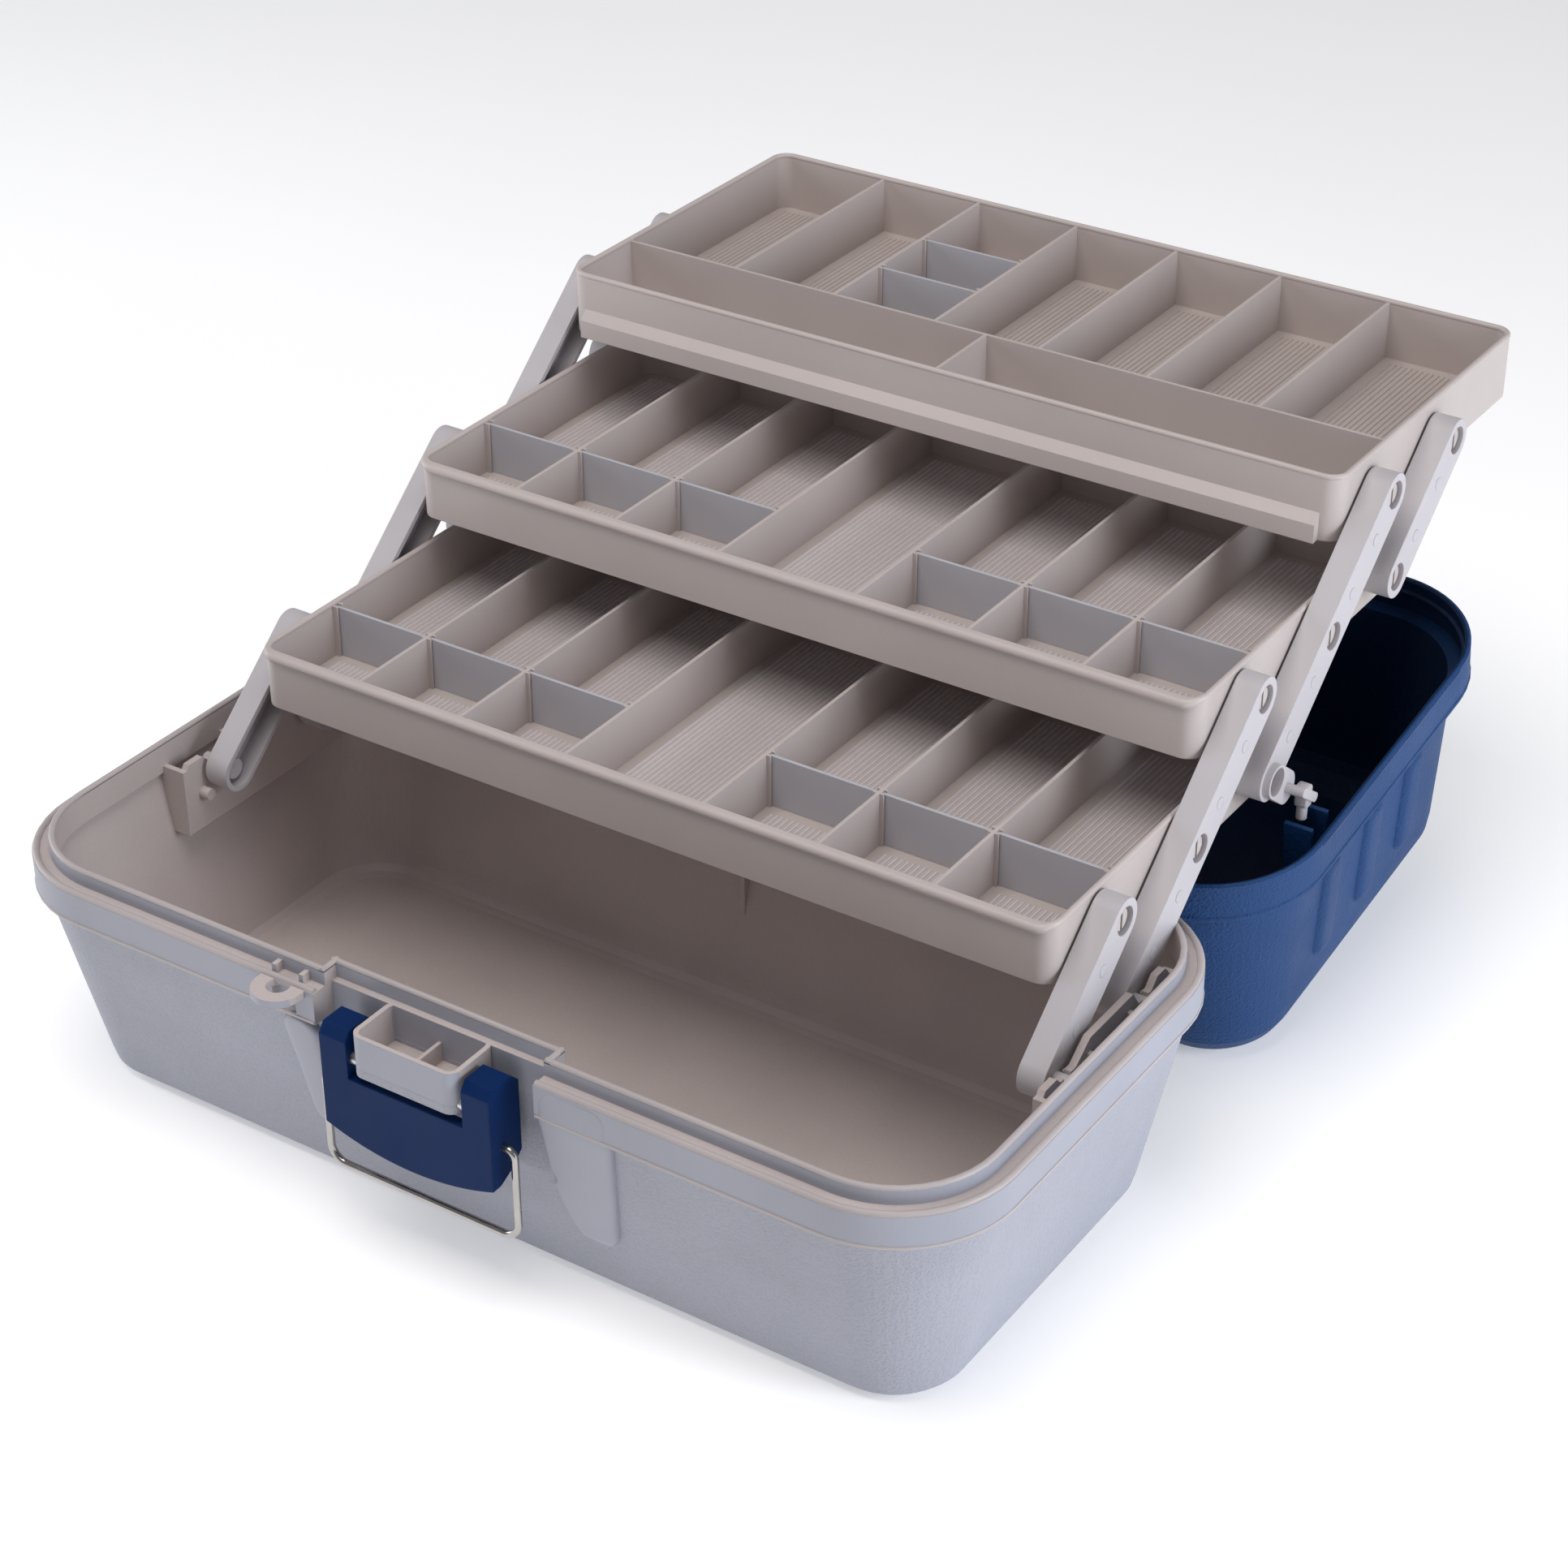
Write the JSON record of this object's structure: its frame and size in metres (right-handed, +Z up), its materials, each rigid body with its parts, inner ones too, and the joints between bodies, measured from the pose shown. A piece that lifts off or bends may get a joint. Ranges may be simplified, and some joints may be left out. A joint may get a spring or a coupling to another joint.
{
  "type": "fishing tackle box",
  "caption": "Open cantilever tackle box: moulded tub with draw latch, hinged lid and three divided trays on parallel swing arms.",
  "frame": {"origin": "centre of the tub's bottom face, on the surface the box stands on", "axes": "+X to the box's right, +Y to its back where the lid lies open, +Z up"},
  "size_m": [0.44, 0.5295, 0.2315],
  "materials": {
    "shell_grey": "fine leather grain, smooth flange",
    "tray_grey": "satin moulded",
    "arm_grey": "satin moulded",
    "lid_blue": "fine grain",
    "steel": "plain",
    "bright_steel": "polished wire"
  },
  "bodies": {
    "tub": {"base_tub": "shell_grey", "hinge_pin_left": "steel", "hinge_pin_right": "steel", "latch_pins": "steel"},
    "lid": {"lid_shell": "lid_blue"},
    "handle": {"carry_handle": "lid_blue"},
    "latch": {"latch_lever": "lid_blue"},
    "bail": {"bail_wire": "bright_steel"},
    "arms_a": {"arm_a_left": "arm_grey", "arm_a_right": "arm_grey"},
    "arms_b": {"arm_b_left": "arm_grey", "arm_b_right": "arm_grey"},
    "arms_c": {"arm_c_left": "arm_grey", "arm_c_right": "arm_grey"},
    "arms_d": {"arm_d_left": "arm_grey", "arm_d_right": "arm_grey"},
    "lower_tray": {"tray_1": "tray_grey", "plate_1a": "tray_grey", "plate_1b": "tray_grey", "plate_1c": "tray_grey", "plate_1d": "tray_grey", "plate_1e": "tray_grey", "plate_1f": "tray_grey"},
    "middle_tray": {"tray_2": "tray_grey", "plate_2a": "tray_grey", "plate_2b": "tray_grey", "plate_2c": "tray_grey", "plate_2d": "tray_grey", "plate_2e": "tray_grey", "plate_2f": "tray_grey"},
    "top_tray": {"tray_3": "tray_grey", "plate_3a": "tray_grey", "plate_3b": "tray_grey"}
  },
  "joints": [
    {"name": "lid_swing", "type": "hinge", "parent": "tub", "child": "lid", "pos_m": [0, 0.118, 0.103], "axis": [1, 0, 0], "range_deg": [0, 87]},
    {"name": "arm_a_swing", "type": "hinge", "parent": "tub", "child": "arms_a", "pos_m": [0, 0.003, 0.0945], "axis": [1, 0, 0], "range_deg": [0, 111.01]},
    {"name": "arm_b_swing", "type": "hinge", "parent": "tub", "child": "arms_b", "pos_m": [0, 0.061, 0.0945], "axis": [1, 0, 0], "range_deg": [0, 111.01]},
    {"name": "lower_tray_level", "type": "hinge", "parent": "arms_b", "child": "lower_tray", "pos_m": [0, 0.109, 0.1355], "axis": [1, 0, 0], "range_deg": [-111.01, 0]},
    {"name": "middle_tray_level", "type": "hinge", "parent": "arms_b", "child": "middle_tray", "pos_m": [0, 0.15701, 0.1765], "axis": [1, 0, 0], "range_deg": [-111.01, 0]},
    {"name": "arm_c_swing", "type": "hinge", "parent": "lower_tray", "child": "arms_c", "pos_m": [0, 0.167, 0.1355], "axis": [1, 0, 0], "range_deg": [0, 111.01]},
    {"name": "arm_d_swing", "type": "hinge", "parent": "middle_tray", "child": "arms_d", "pos_m": [0, 0.27301, 0.1765], "axis": [1, 0, 0], "range_deg": [0, 111.01]},
    {"name": "top_tray_level", "type": "hinge", "parent": "arms_c", "child": "top_tray", "pos_m": [0, 0.26301, 0.2175], "axis": [1, 0, 0], "range_deg": [-111.01, 0]},
    {"name": "latch_swing", "type": "hinge", "parent": "tub", "child": "latch", "pos_m": [0, -0.119, 0.0885], "axis": [-1, 0, 0], "range_deg": [0, 70]},
    {"name": "bail_swing", "type": "hinge", "parent": "latch", "child": "bail", "pos_m": [0, -0.116, 0.073], "axis": [-1, 0, 0], "range_deg": [0, 140]},
    {"name": "handle_swing", "type": "hinge", "parent": "lid", "child": "handle", "pos_m": [0, 0.24495, 0.00455], "axis": [-1, 0, 0], "range_deg": [-8, 98]}
  ],
  "couplings": [
    {"joint": "arm_a_swing", "follows": "lid_swing", "ratio": 1.276},
    {"joint": "arm_b_swing", "follows": "lid_swing", "ratio": 1.276},
    {"joint": "lower_tray_level", "follows": "lid_swing", "ratio": -1.276},
    {"joint": "middle_tray_level", "follows": "lid_swing", "ratio": -1.276},
    {"joint": "arm_c_swing", "follows": "lid_swing", "ratio": 1.276},
    {"joint": "arm_d_swing", "follows": "lid_swing", "ratio": 1.276},
    {"joint": "top_tray_level", "follows": "lid_swing", "ratio": -1.276}
  ]
}
